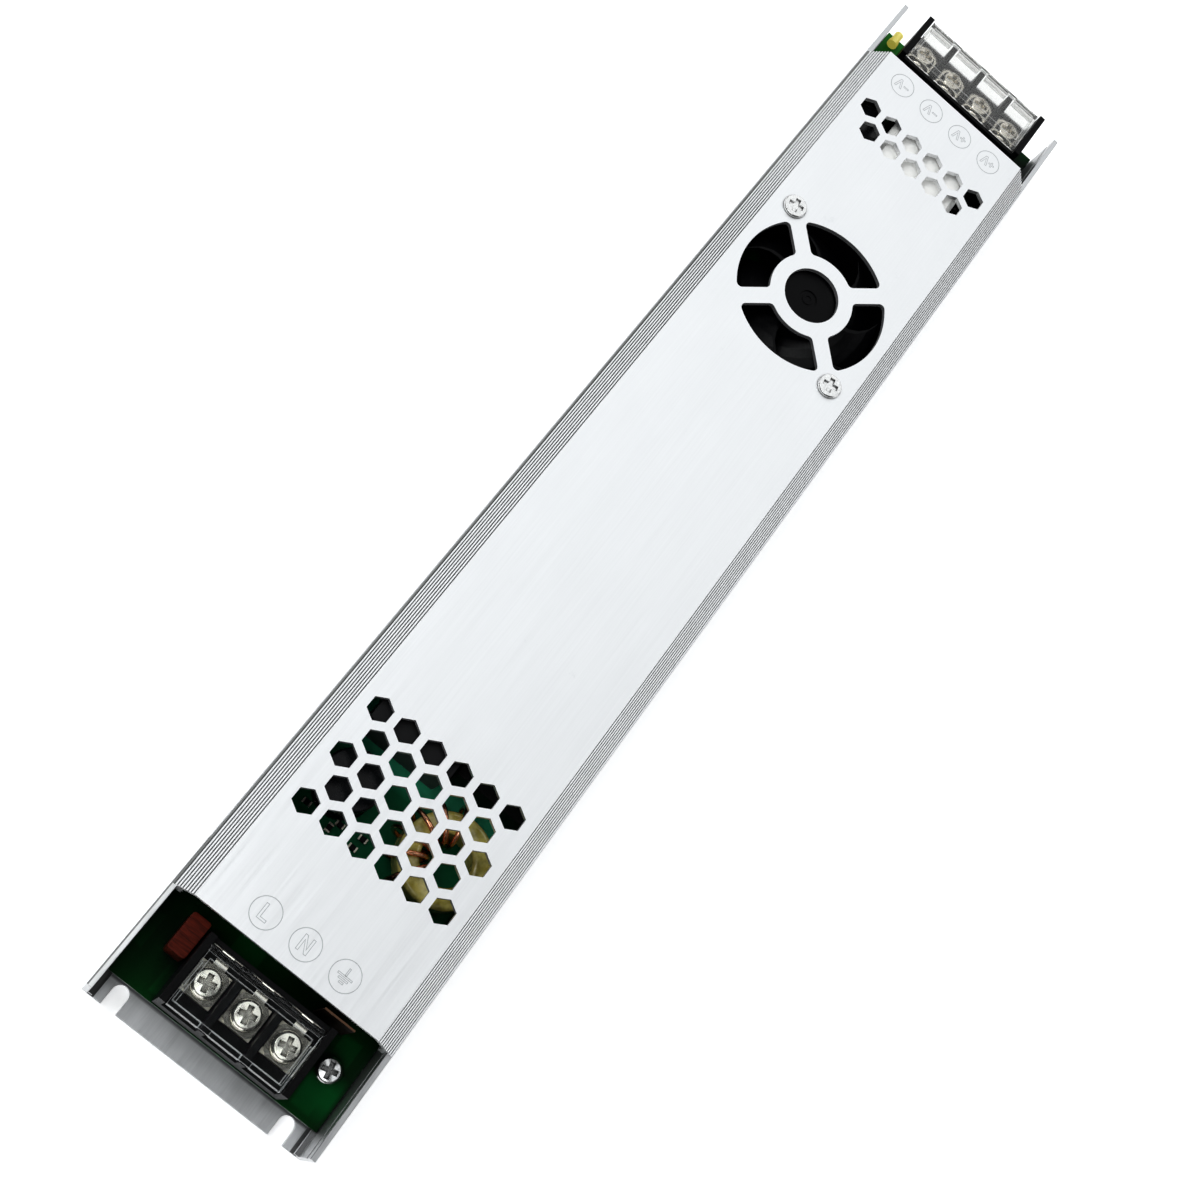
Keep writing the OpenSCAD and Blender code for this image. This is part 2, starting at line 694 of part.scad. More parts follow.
// Hub cup with its shaft and a ring of twisted blades
module fan_rotor() {
    dimple_z = hub_top - 0.3;
    color("#262626") at_fan() {
        rotate_extrude() polygon([[0, dimple_z], [0.8, dimple_z], [0.8, dimple_z + 0.2],
            [1.4, dimple_z + 0.2], [1.4, dimple_z], [2.2, dimple_z], [2.2, hub_top],
            [hub_r - 0.5, hub_top], [hub_r, hub_top - 0.5], [hub_r, hub_z], [cup_r, hub_z],
            [cup_r, hub_top - 1.2], [shaft_r, hub_top - 1.2], [shaft_r, disc_z + 0.3], [0, disc_z + 0.3]]);
        for (k = [0:blade_n - 1]) {
            translate([0, 0, hub_z + 0.2]) rotate(k * 360 / blade_n)
                linear_extrude(hub_top - hub_z - 0.8, twist = -50, slices = 6) blade_plan();
        }
    }
}

module fan_screws() {
    color("silver") at_fan_screws() {
        translate([0, 0, fan_z - nut_h])
            cylinder(r = fan_shank_r, h = case_h - fan_z + nut_h + eps, $fn = 32);
        translate([0, 0, case_h]) pan_head(fan_head_d, fan_head_h);
    }
}

module fan_nuts() {
    color("silver") at_fan_screws() translate([0, 0, fan_z - nut_h]) difference() {
        cylinder(d = 5.5 / cos(30), h = nut_h, $fn = 6);
        translate([0, 0, -eps]) cylinder(r = fan_shank_r + fit_gap, h = nut_h + 2 * eps, $fn = 32);
    }
}

// Stands a piece on the board
module on_board(pos) {
    translate([pos[0], pos[1], board_top]) children();
}

module fuse() {
    color("#5a1a12") on_board(fuse_pos) linear_extrude(fuse_h) round_rect(fuse_w, fuse_l, 0.6);
}

// Disc on a moulded foot
module surge_disc() {
    color("#2a4f8c") on_board(disc_pos) {
        translate([0, 0, disc_d / 2 + 1]) rotate([90, 0, 0])
            cylinder(d = disc_d, h = disc_t, center = true);
        translate([-disc_d / 4, -disc_t / 2, 0]) cube([disc_d / 2, disc_t, 2]);
    }
}

module box_capacitors() {
    color("#3a3a3e") for (p = [box_pos_1, box_pos_2]) on_board(p)
        linear_extrude(box_h) round_rect(box_l, box_w, 0.8);
}

module insulating_strip() {
    color("#7a4a28") on_board([in_half - 1, (in_back_y + cover_near) / 2 + 0.6])
        translate([-strip_l / 2, -strip_t / 2, 0]) cube([strip_l, strip_t, strip_h]);
}

// Ring core with rounded edges, lying on the board
module ring_core(d) {
    rotate_extrude() translate([d / 2 - core_w / 2, core_h / 2]) round_rect(core_w, core_h, 1);
}

// Round wire turns about a ring core, in groups on the given sides
module ring_winding(d, sides, turns, spread) {
    for (side = sides, i = [0:turns - 1]) {
        rotate(side + (i - (turns - 1) / 2) * spread / (turns - 1))
            translate([d / 2 - core_w / 2, 0, core_h / 2]) rotate([90, 0, 0])
                rotate_extrude() translate([turn_r, 0]) circle(wire_r, $fn = 16);
    }
}

module at_choke() {
    translate([choke_pos[0], choke_pos[1], board_top + choke_lift]) children();
}

module at_output_choke() {
    translate([0, out_choke_y, board_top + choke_lift]) children();
}

module choke_core() { color("#c8b038") at_choke() ring_core(choke_d); }
module choke_winding() { color("#c8743a") at_choke() ring_winding(choke_d, [170], 6, 130); }
module output_choke_core() { color("#3c5a3c") at_output_choke() ring_core(out_choke_d); }
module output_choke_winding() {
    color("#c8743a") at_output_choke() ring_winding(out_choke_d, [0, 180], 6, 125);
}

// Sleeved drum with a flange at each end
module drum_choke() {
    r = drum_d / 2;
    flange = drum_h * 0.14;
    color("#161616") on_board(drum_pos) rotate_extrude()
        polygon([[0, 0], [r, 0], [r, flange], [r - 0.6, flange + 0.6], [r - 0.6, drum_h - flange - 0.6],
            [r, drum_h - flange], [r, drum_h - 0.4], [r - 0.4, drum_h], [0, drum_h]]);
}

module bridge_rectifier() {
    color("#1e1e1e") on_board(bridge_pos) difference() {
        translate([-bridge_w / 2, -bridge_l / 2, 0]) cube([bridge_w, bridge_l, bridge_h]);
        translate([0, 0, -eps]) cylinder(r = 1.7, h = bridge_h + 2 * eps, $fn = 32);
    }
}

// Sleeved can with a rolled groove, lying along Y
module bulk_capacitors() {
    r = bulk_d / 2;
    c = bulk_d * 0.05;
    neck = bulk_l * 0.12;
    color("#191919") for (i = [-1:1]) on_board([i * bulk_step, bulk_y])
        translate([0, 0, r]) rotate([-90, 0, 0]) rotate_extrude()
            polygon([[0, 0], [r - c, 0], [r, c], [r, neck - c], [r - c, neck], [r, neck + c],
                [r, bulk_l - c], [r - c, bulk_l], [0, bulk_l]]);
}

// Flat transistor body standing against a wall, with three legs
module power_device() {
    leg = 2.4;
    translate([-device_t / 2, -device_w / 2, leg]) cube([device_t, device_w, device_h - leg]);
    for (y = [-2.54, 0, 2.54]) translate([-0.3, y - 0.4, 0]) cube([0.6, 0.8, leg + eps]);
}

module switch_transistors() {
    color("#202020") for (i = [0, 1]) on_board([-device_x, switch_y + i * device_step]) power_device();
}

module output_rectifiers() {
    color("#202020") for (i = [0, 1]) on_board([device_x, rectifier_y + i * device_step]) power_device();
}

// Two-window core, with the middle leg inside the winding
module transformer_core() {
    win_w = (trafo_w - trafo_leg) / 2 - trafo_side;
    win_l = trafo_l - 2 * trafo_end;
    color("#333333") on_board([trafo_x, trafo_y]) translate([0, 0, trafo_lift])
        linear_extrude(trafo_h) difference() {
            square([trafo_w, trafo_l], center = true);
            for (s = [-1, 1]) translate([s * (trafo_leg + win_w) / 2, 0])
                square([win_w, win_l], center = true);
        }
}

module transformer_winding() {
    w = trafo_w - 2 * trafo_side - 0.6;
    l = trafo_l - 2 * trafo_end - 0.6;
    color("#d8b820") on_board([trafo_x, trafo_y]) difference() {
        union() {
            translate([0, 0, trafo_lift]) linear_extrude(trafo_h) round_rect(w, l, 1.5);
            linear_extrude(trafo_h + 2 * trafo_lift) round_rect(trafo_leg + 2 * trafo_lift, l, 1.5);
        }
        translate([-trafo_leg / 2 - 0.1, -l, trafo_lift - 0.1])
            cube([trafo_leg + 0.2, 2 * l, trafo_h + 0.2]);
    }
}

module control_chips() {
    color("#141414") for (i = [-1:1]) on_board(fan_pos + [i * 2 * chip_l, (i * i - 1) * chip_w])
        translate([-chip_l / 2, -chip_w / 2, 0]) cube([chip_l, chip_w, chip_h]);
}

// Sleeved can with a rolled groove, standing on the board
module can(pos) {
    r = can_d / 2;
    on_board(pos) rotate_extrude()
        polygon([[0, 0], [r, 0], [r, 1], [r - 0.5, 1.5], [r, 2], [r, can_h - 0.5],
            [r - 0.5, can_h], [0, can_h]]);
}

module output_capacitors() {
    color("#22262c") {
        for (i = [-1.5:1:1.5]) can([i * can_step, can_y]);
        can([can_side_x, spreader_y + 1]);
    }
}

module heat_spreader() {
    color("gainsboro") on_board([spreader_x, spreader_y]) difference() {
        translate([-spreader_w / 2, -spreader_l / 2, 0]) cube([spreader_w, spreader_l, spreader_h]);
        for (s = [-1, 1]) translate([s * spreader_w / 2, 0, spreader_h]) rotate([0, 45, 0])
            cube([2, spreader_l + 2, 2], center = true);
    }
}

// Lamp lying at the board's edge, looking out of the end
module lamp() {
    z = board_top + lamp_d / 2 + 0.3;
    color("#c8c832") translate([lamp_pos[0], lamp_pos[1], z]) rotate([90, 0, 0]) {
        cylinder(d = lamp_d, h = 4, $fn = 32);
        translate([0, 0, 3]) cylinder(d = lamp_d + 0.4, h = 1, $fn = 32);
    }
}

base_channel();
top_cover();
insulating_sheet();
circuit_board();
board_standoffs();
board_screws();
input_block();
input_contacts();
input_lid();
input_clamp(0);  // input_clamp_1
input_clamp(1);  // input_clamp_2
input_clamp(2);  // input_clamp_3
input_screw(0);  // input_screw_1
input_screw(1);  // input_screw_2
input_screw(2);  // input_screw_3
output_block();
output_contacts();
output_lid();
output_clamp(0);  // output_clamp_1
output_clamp(1);  // output_clamp_2
output_clamp(2);  // output_clamp_3
output_clamp(3);  // output_clamp_4
output_screw(0);  // output_screw_1
output_screw(1);  // output_screw_2
output_screw(2);  // output_screw_3
output_screw(3);  // output_screw_4
fan_frame();
fan_bearing();
fan_stator();
fan_rotor();
fan_screws();
fan_nuts();
fuse();
surge_disc();
box_capacitors();
insulating_strip();
choke_core();
choke_winding();
drum_choke();
bridge_rectifier();
bulk_capacitors();
switch_transistors();
transformer_core();
transformer_winding();
output_rectifiers();
output_choke_core();
output_choke_winding();
control_chips();
output_capacitors();
heat_spreader();
lamp();
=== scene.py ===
import math

import bmesh
import bpy
from mathutils import Matrix, Vector


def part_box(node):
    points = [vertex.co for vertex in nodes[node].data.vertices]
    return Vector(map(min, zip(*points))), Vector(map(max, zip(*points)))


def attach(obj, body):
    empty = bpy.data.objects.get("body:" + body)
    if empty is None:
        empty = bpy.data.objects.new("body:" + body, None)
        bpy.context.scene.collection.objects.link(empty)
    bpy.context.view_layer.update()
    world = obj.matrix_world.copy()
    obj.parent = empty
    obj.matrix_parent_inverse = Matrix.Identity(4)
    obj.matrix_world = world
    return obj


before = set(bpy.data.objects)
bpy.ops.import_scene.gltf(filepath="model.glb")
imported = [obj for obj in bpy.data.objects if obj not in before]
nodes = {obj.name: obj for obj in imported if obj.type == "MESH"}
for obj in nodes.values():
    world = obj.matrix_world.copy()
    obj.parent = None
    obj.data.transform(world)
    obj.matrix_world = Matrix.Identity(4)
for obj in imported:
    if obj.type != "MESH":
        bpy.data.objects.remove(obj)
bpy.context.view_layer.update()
mm = 0.001
print("stage: frame loaded,", len(nodes), "nodes")

# Camera at the photo's angle, fitted to its edges, holes and corners
cameraSet = {
    "place": (-0.029253, -0.182246, 0.344242),
    "right": (0.761383, 0.554056, 0.336627),
    "down": (0.641481, -0.718979, -0.267529),
    "ahead": (0.093802, 0.419632, -0.902835),
    "lens": 51.228,
    "sensor": 36.0,
    "clip": (0.01, 120),
}


def makeCamera(spec):
    data = bpy.data.cameras.new("photoCamera")
    data.lens = spec["lens"]
    data.sensor_width = spec["sensor"]
    data.clip_start, data.clip_end = spec["clip"]
    camera = bpy.data.objects.new("photoCamera", data)
    right, down, ahead = (Vector(spec[k]) for k in ("right", "down", "ahead"))
    turn = Matrix((right, -down, -ahead)).transposed()
    camera.matrix_world = Matrix.Translation(spec["place"]) @ turn.to_4x4()
    bpy.context.scene.collection.objects.link(camera)
    bpy.context.scene.camera = camera


makeCamera(cameraSet)
print("stage: camera set")


# Node helpers
def put(tree, kind, **values):
    node = tree.nodes.new(kind)
    for key, value in values.items():
        if key in node.inputs:
            node.inputs[key].default_value = value
        else:
            setattr(node, key, value)
    return node


def startMaterial(name):
    material = bpy.data.materials.new(name)
    material.use_nodes = True
    tree = material.node_tree
    return material, tree, tree.nodes["Principled BSDF"]


def scaledNoise(tree, scale, detail=3.0, rough=0.55):
    coord = put(tree, "ShaderNodeTexCoord")
    mapping = put(tree, "ShaderNodeMapping", Scale=scale)
    noise = put(tree, "ShaderNodeTexNoise", Scale=1.0, Detail=detail, Roughness=rough)
    tree.links.new(coord.outputs["Object"], mapping.inputs["Vector"])
    tree.links.new(mapping.outputs["Vector"], noise.inputs["Vector"])
    return noise


def spread(tree, source, low, high, fromLow=0.3, fromHigh=0.7):
    node = put(tree, "ShaderNodeMapRange")
    node.inputs["From Min"].default_value = fromLow
    node.inputs["From Max"].default_value = fromHigh
    node.inputs["To Min"].default_value = low
    node.inputs["To Max"].default_value = high
    tree.links.new(source, node.inputs["Value"])
    return node.outputs["Result"]


def blendColours(tree, factor, first, second):
    node = put(tree, "ShaderNodeMix", data_type="RGBA")
    colours = [s for s in node.inputs if s.type == "RGBA"]
    for socket, value in zip(colours, (first, second)):
        if isinstance(value, tuple):
            socket.default_value = (*value, 1)
        else:
            tree.links.new(value, socket)
    tree.links.new(factor, node.inputs["Factor"])
    return [s for s in node.outputs if s.type == "RGBA"][0]


# One between two bounds along an axis, nought outside them
def within(tree, axis, low, high, soft):
    coord = put(tree, "ShaderNodeTexCoord")
    split = put(tree, "ShaderNodeSeparateXYZ")
    tree.links.new(coord.outputs["Object"], split.inputs["Vector"])
    both = put(tree, "ShaderNodeMath", operation="MULTIPLY")
    tree.links.new(spread(tree, split.outputs[axis], 0, 1, low - soft, low + soft), both.inputs[0])
    tree.links.new(spread(tree, split.outputs[axis], 1, 0, high - soft, high + soft), both.inputs[1])
    return both.outputs["Value"]


# One on faces that look up, nought on upright ones and undersides
def facingUp(tree, low, high):
    facing = put(tree, "ShaderNodeNewGeometry")
    upward = put(tree, "ShaderNodeSeparateXYZ")
    tree.links.new(facing.outputs["True Normal"], upward.inputs["Vector"])
    return spread(tree, upward.outputs["Z"], 0, 1, low, high)


# Which slopes count as upper faces, and how softly a zone fades along the part
zoneSet = {"upward": (0.2, 0.4), "alongBlur": 4}


# The tone with painted light and shade laid over each zone's upper faces: bounds across, bounds along, tone
def layPaintedLight(tree, tone, lightShadeZones, soft):
    for across, along, zoneTone in lightShadeZones:
        share = facingUp(tree, *zoneSet["upward"])
        for axis, bounds, blur in (("X", across, soft), ("Y", along, soft * zoneSet["alongBlur"])):
            both = put(tree, "ShaderNodeMath", operation="MULTIPLY")
            tree.links.new(share, both.inputs[0])
            tree.links.new(within(tree, axis, *bounds, blur), both.inputs[1])
            share = both.outputs["Value"]
        tone = blendColours(tree, share, tone, zoneTone)
    return tone


# What every surface has unless its own settings say otherwise
sharedSet = {
    "mottle": (60, 60, 60), "mottleAmount": 0.25, "scuffAmount": 0.5, "scuffFrom": (0.66, 0.74),
    "lightShadeZones": (), "zoneBlur": 0.00006, "recessShadeZones": (), "recessShadeBlur": 0.004, "openFrom": (0.35, 0.8),
    "topFrom": (0.6, 0.8), "bump": 0.1, "depth": 0.00002, "metal": 0.0, "shine": 0.5, "coat": 0.0,
    "coatRough": 0.12, "glow": ((0, 0, 0), 0.0),
}


# One surface from its settings: two tones mixed by a stretched grain, a coarse mottle, scuffs, painted light
# and shade in zones, another tone on upward faces, painted shade in recesses, grain in the roughness, a fine
# bump and softened edges
def makeSurface(name, ownSpec):
    spec = {**sharedSet, **ownSpec}
    material, tree, shader = startMaterial(name)
    grain = scaledNoise(tree, spec["grain"])
    mottle = scaledNoise(tree, spec["mottle"], detail=4.0)
    fine = spread(tree, grain.outputs["Fac"], 0, 1)
    tone = blendColours(tree, fine, spec["dark"], spec["light"])
    coarse = spread(tree, mottle.outputs["Fac"], 0, spec["mottleAmount"])
    tone = blendColours(tree, coarse, tone, spec.get("stain", spec["dark"]))
    if spec.get("scuff"):
        scuff = scaledNoise(tree, spec["scuff"], detail=6.0, rough=0.7)
        rubbed = spread(tree, scuff.outputs["Fac"], 0, spec["scuffAmount"], *spec["scuffFrom"])
        tone = blendColours(tree, rubbed, tone, spec["stain"])
    # Painted light and shade laid over zones of the upper faces
    tone = layPaintedLight(tree, tone, spec["lightShadeZones"], spec["zoneBlur"])
    # A different tone on upward faces: painted shade on the box capacitors' tops, the fibre's own brown on
    # the strip's top
    if spec.get("topTone"):
        tone = blendColours(tree, facingUp(tree, *spec["topFrom"]), tone, spec["topTone"])
    # Painted shade: grooves, corners and recesses darken towards the recess-shade tone
    if spec.get("recess"):
        closeness = put(tree, "ShaderNodeAmbientOcclusion", samples=8, Distance=spec["recess"])
        openness = spread(tree, closeness.outputs["AO"], 0, 1, *spec["openFrom"])
        recessShade = layPaintedLight(tree, spec["recessShade"], spec["recessShadeZones"], spec["recessShadeBlur"])
        tone = blendColours(tree, openness, recessShade, tone)
    tree.links.new(tone, shader.inputs["Base Color"])
    low, high = spec["rough"]
    tree.links.new(spread(tree, grain.outputs["Fac"], low, high), shader.inputs["Roughness"])
    bump = put(tree, "ShaderNodeBump", Strength=spec["bump"], Distance=spec["depth"])
    tree.links.new(grain.outputs["Fac"], bump.inputs["Height"])
    if spec.get("edge"):
        soft = put(tree, "ShaderNodeBevel", samples=4, Radius=spec["edge"])
        tree.links.new(soft.outputs["Normal"], bump.inputs["Normal"])
    tree.links.new(bump.outputs["Normal"], shader.inputs["Normal"])
    shader.inputs["Metallic"].default_value = spec["metal"]
    shader.inputs["Specular IOR Level"].default_value = spec["shine"]
    shader.inputs["Coat Weight"].default_value = spec["coat"]
    shader.inputs["Coat Roughness"].default_value = spec["coatRough"]
    glowTone, glowLevel = spec["glow"]
    shader.inputs["Emission Color"].default_value = (*glowTone, 1)
    shader.inputs["Emission Strength"].default_value = glowLevel
    return material


surfaceSets = {
    "coverAluminium": {
        "light": (0.878, 0.884, 0.892), "dark": (0.838, 0.844, 0.852), "stain": (0.75, 0.758, 0.768),
        "grain": (2600, 45, 2600), "mottle": (90, 40, 90), "mottleAmount": 0.16, "scuff": (220, 130, 220),
        # Painted shade in the chamfer grooves, lighter on the right half and at the far end
        "rough": (0.46, 0.56), "bump": 0.1, "metal": 1.0, "recess": 0.0006, "recessShade": (0.3, 0.3, 0.3),
        "recessShadeZones": [((0, 0.04), (-0.2, 0.2), (0.6, 0.6, 0.6)),
                       ((-0.04, 0.04), (0.08, 0.2), (0.68, 0.68, 0.68))],
        # Painted shadow along the cover's lower left edge, where it meets the wall
        "lightShadeZones": [((-0.027, -0.02582), (-0.2, 0.2), (0.26, 0.265, 0.26))],
    },
    "baseAluminium": {
        "light": (0.62, 0.625, 0.635), "dark": (0.55, 0.555, 0.565), "stain": (0.46, 0.465, 0.47),
        "grain": (3000, 160, 3000), "mottle": (70, 40, 70), "mottleAmount": 0.2,
        "rough": (0.36, 0.46), "bump": 0.04, "metal": 1.0, "edge": 0.0002,
        # Painted light and shade at the near end: a dark line, a bright band and a dark band across the left
        # wall top, a dark band along the right wall, and a darker floor before the board
        "lightShadeZones": [((-0.027, -0.0262), (-0.2, -0.12), (0.25, 0.25, 0.25)),
                  ((-0.0262, -0.0252), (-0.2, -0.12), (0.88, 0.88, 0.88)),
                  ((-0.0252, -0.0238), (-0.2, -0.12), (0.08, 0.08, 0.08)),
                  ((0.0238, 0.0254), (-0.2, -0.12), (0.16, 0.16, 0.16)),
                  ((-0.0238, 0.0238), (-0.149, -0.1), (0.2, 0.2, 0.205))],
    },
    "bareAluminium": {
        "light": (0.97, 0.965, 0.94), "dark": (0.94, 0.935, 0.91), "grain": (900, 900, 900),
        "rough": (0.42, 0.52), "bump": 0.1, "metal": 0.0,
    },
    "sheetFilm": {
        "light": (0.86, 0.84, 0.78), "dark": (0.78, 0.76, 0.69), "grain": (700, 700, 700),
        "rough": (0.5, 0.65), "bump": 0.1,
    },
    "platedSteel": {
        "light": (0.82, 0.82, 0.81), "dark": (0.6, 0.6, 0.6), "grain": (2000, 2000, 500),
        "rough": (0.14, 0.26), "bump": 0.06, "metal": 1.0, "edge": 0.0001,
        # Painted shade in the cross recesses of the screw heads
        "recess": 0.0007, "recessShade": (0.05, 0.05, 0.05),
    },
    "nickelSteel": {
        "light": (0.9, 0.86, 0.78), "dark": (0.78, 0.74, 0.66), "grain": (1100, 1100, 700),
        "rough": (0.12, 0.2), "bump": 0.04, "metal": 1.0, "edge": 0.00012,
        # Painted shade in recesses and corners
        "recess": 0.0007, "recessShade": (0.03, 0.027, 0.022),
    },
    # A lighter, partly diffuse copy of the nickel steel for the terminal screws: the brighter tone is painted
    # light for their highlights; painted shade in the cross recesses
    "litScrewSteel": {
        "light": (0.97, 0.93, 0.85), "dark": (0.88, 0.84, 0.76), "grain": (1100, 1100, 700),
        "rough": (0.16, 0.28), "bump": 0.04, "metal": 0.93, "edge": 0.00012,
        "recess": 0.0008, "recessShade": (0.02, 0.018, 0.015),
    },
    "tinnedBrass": {
        "light": (0.82, 0.78, 0.68), "dark": (0.64, 0.6, 0.5), "grain": (1400, 1400, 600),
        "rough": (0.24, 0.4), "bump": 0.12, "metal": 1.0, "edge": 0.00012,
    },
    "blackMoulding": {
        "light": (0.006, 0.006, 0.0065), "dark": (0.003, 0.003, 0.0035), "grain": (3200, 3200, 3200),
        "rough": (0.34, 0.5), "bump": 0.12, "edge": 0.00018, "shine": 0.1,
    },
    "fanPlastic": {
        "light": (0.003, 0.003, 0.0035), "dark": (0.001, 0.001, 0.0015), "grain": (2600, 2600, 2600),
        "rough": (0.3, 0.42), "bump": 0.08, "edge": 0.00015, "shine": 0.1,
    },
    "bronze": {
        "light": (0.62, 0.42, 0.2), "dark": (0.46, 0.3, 0.14), "grain": (1500, 1500, 1500),
        "rough": (0.3, 0.45), "metal": 1.0,
    },
    "copper": {
        "light": (0.95, 0.52, 0.32), "dark": (0.8, 0.36, 0.2), "grain": (1400, 1400, 1400),
        "rough": (0.16, 0.28), "bump": 0.06, "metal": 1.0, "coat": 0.4,
    },
    "fuseMoulding": {
        "light": (0.13, 0.014, 0.004), "dark": (0.04, 0.005, 0.002), "grain": (300, 2600, 300),
        "rough": (0.3, 0.42), "bump": 0.2, "edge": 0.0003, "shine": 0.15,
    },
    "discLacquer": {
        "light": (0.05, 0.14, 0.42), "dark": (0.03, 0.09, 0.3), "grain": (700, 700, 700),
        "rough": (0.22, 0.34), "coat": 0.5, "edge": 0.0004,
    },
    # Painted shade: the upward faces are near black as if in shade under the cover; the sides keep the grey
    "greyMoulding": {
        "light": (0.1, 0.105, 0.11), "dark": (0.07, 0.073, 0.078), "grain": (1200, 1200, 1200),
        "rough": (0.36, 0.5), "bump": 0.12, "topTone": (0.006, 0.006, 0.007), "shine": 0.2,
    },
    # Painted shadow: the strip's faces are near black as if in shade; its upward face keeps the fibre's brown
    "brownFibre": {
        "light": (0.02, 0.012, 0.008), "dark": (0.012, 0.007, 0.005), "grain": (600, 3000, 600),
        "rough": (0.5, 0.65), "bump": 0.3, "topTone": (0.13, 0.07, 0.04), "shine": 0.2,
    },
    "yellowCoating": {
        "light": (0.86, 0.78, 0.3), "dark": (0.6, 0.5, 0.1), "stain": (0.1, 0.085, 0.01),
        "grain": (500, 500, 500), "mottle": (260, 260, 260), "mottleAmount": 0.8,
        "rough": (0.12, 0.25), "bump": 0.1, "coat": 0.8,
    },
    "greenCoating": {
        "light": (0.06, 0.26, 0.12), "dark": (0.03, 0.17, 0.07), "grain": (500, 500, 500),
        "rough": (0.24, 0.36), "bump": 0.1, "coat": 0.4,
    },
    "yellowTape": {
        "light": (0.82, 0.62, 0.06), "dark": (0.7, 0.5, 0.03), "grain": (90, 90, 2600),
        "rough": (0.22, 0.34), "bump": 0.2, "coat": 0.3,
    },
    "blackEpoxy": {
        "light": (0.008, 0.008, 0.008), "dark": (0.004, 0.004, 0.004), "grain": (2600, 2600, 2600),
        "rough": (0.5, 0.66), "bump": 0.2, "edge": 0.0002, "shine": 0.15,
    },
    "canSleeve": {
        "light": (0.007, 0.008, 0.01), "dark": (0.003, 0.004, 0.005), "grain": (300, 900, 300),
        "rough": (0.2, 0.32), "edge": 0.0003, "shine": 0.3,
    },
    "ferrite": {
        "light": (0.06, 0.06, 0.063), "dark": (0.035, 0.035, 0.038), "grain": (1800, 1800, 1800),
        "rough": (0.45, 0.6), "bump": 0.3, "edge": 0.0003,
    },
    "lampPlastic": {
        "light": (0.95, 0.88, 0.3), "dark": (0.85, 0.76, 0.2), "grain": (800, 800, 800),
        "rough": (0.12, 0.22), "coat": 0.4, "glow": ((0.9, 0.75, 0.12), 0.3),
    },
}
surfaces = {name: makeSurface(name, spec) for name, spec in surfaceSets.items()}


# Solder-masked laminate: mask over copper tracks that run along and across the board
boardSet = {
    "mask": (0.0012, 0.05, 0.007), "track": (0.002, 0.085, 0.014), "weave": (0.001, 0.042, 0.006),
    "cells": (150, 90, 1), "trackEdge": (0.3, 0.36), "fibres": (1800, 1800, 1800), "rough": (0.3, 0.42),
    "shade": (0.0002, 0.003, 0.0006), "reach": 0.009, "openFrom": (0.35, 0.9), "zoneBlur": 0.0005,
    "bump": 0.3, "depth": 0.00004, "shine": 0.06,
    # Painted light on the board: under the near vents, at the far left corner and at the near right corner
    "lightShadeZones": [((-0.021, 0.021), (-0.106, -0.084), (0.007, 0.12, 0.05)),
              ((-0.021, 0.021), (-0.086, -0.068), (0.04, 0.36, 0.2)),
              ((-0.027, -0.014), (0.136, 0.155), (0.03, 0.24, 0.04)),
              ((0.0172, 0.0245), (-0.146, -0.1395), (0.0012, 0.085, 0.016))],
}


def makeBoard(spec):
    material, tree, shader = startMaterial("boardLaminate")
    coord = put(tree, "ShaderNodeTexCoord")
    mapping = put(tree, "ShaderNodeMapping", Scale=spec["cells"])
    tracks = put(tree, "ShaderNodeTexVoronoi", distance="CHEBYCHEV", feature="F1", Scale=1.0)
    tree.links.new(coord.outputs["Object"], mapping.inputs["Vector"])
    tree.links.new(mapping.outputs["Vector"], tracks.inputs["Vector"])
    copper = spread(tree, tracks.outputs["Distance"], 0, 1, *spec["trackEdge"])
    weave = scaledNoise(tree, spec["fibres"])
    ground = blendColours(tree, spread(tree, weave.outputs["Fac"], 0, 1), spec["weave"], spec["mask"])
    tone = blendColours(tree, copper, spec["track"], ground)
    # Painted shade beside tall parts, and painted light where the vents and the open end let light in
    closeness = put(tree, "ShaderNodeAmbientOcclusion", samples=12, Distance=spec["reach"])
    openness = spread(tree, closeness.outputs["AO"], 0, 1, *spec["openFrom"])
    tone = blendColours(tree, openness, spec["shade"], tone)
    tone = layPaintedLight(tree, tone, spec["lightShadeZones"], spec["zoneBlur"])
    tree.links.new(tone, shader.inputs["Base Color"])
    low, high = spec["rough"]
    tree.links.new(spread(tree, weave.outputs["Fac"], low, high), shader.inputs["Roughness"])
    bump = put(tree, "ShaderNodeBump", Strength=spec["bump"], Distance=spec["depth"], invert=True)
    tree.links.new(copper, bump.inputs["Height"])
    tree.links.new(bump.outputs["Normal"], shader.inputs["Normal"])
    shader.inputs["Specular IOR Level"].default_value = spec["shine"]
    return material


surfaces["boardLaminate"] = makeBoard(boardSet)

# Clear moulded plastic of the terminal lids, the far one smoky and a little hazy
clearSets = {
    "clearPlastic": {
        "tint": (0.88, 0.9, 0.9), "rough": (0.0, 0.01), "edge": 0.0003, "edgeHighlight": 0.4, "haze": 0.0,
    },
    "hazyPlastic": {
        "tint": (0.75, 0.75, 0.74), "rough": (0.14, 0.19), "edge": 0.0005, "edgeHighlight": 0.7, "haze": 0.04,
    },
}
lidSet = {"ior": 1.3, "flow": (140, 140, 140), "bump": 0.08, "depth": 0.00005, "edgeHighlightFrom": (0.8, 0.98)}


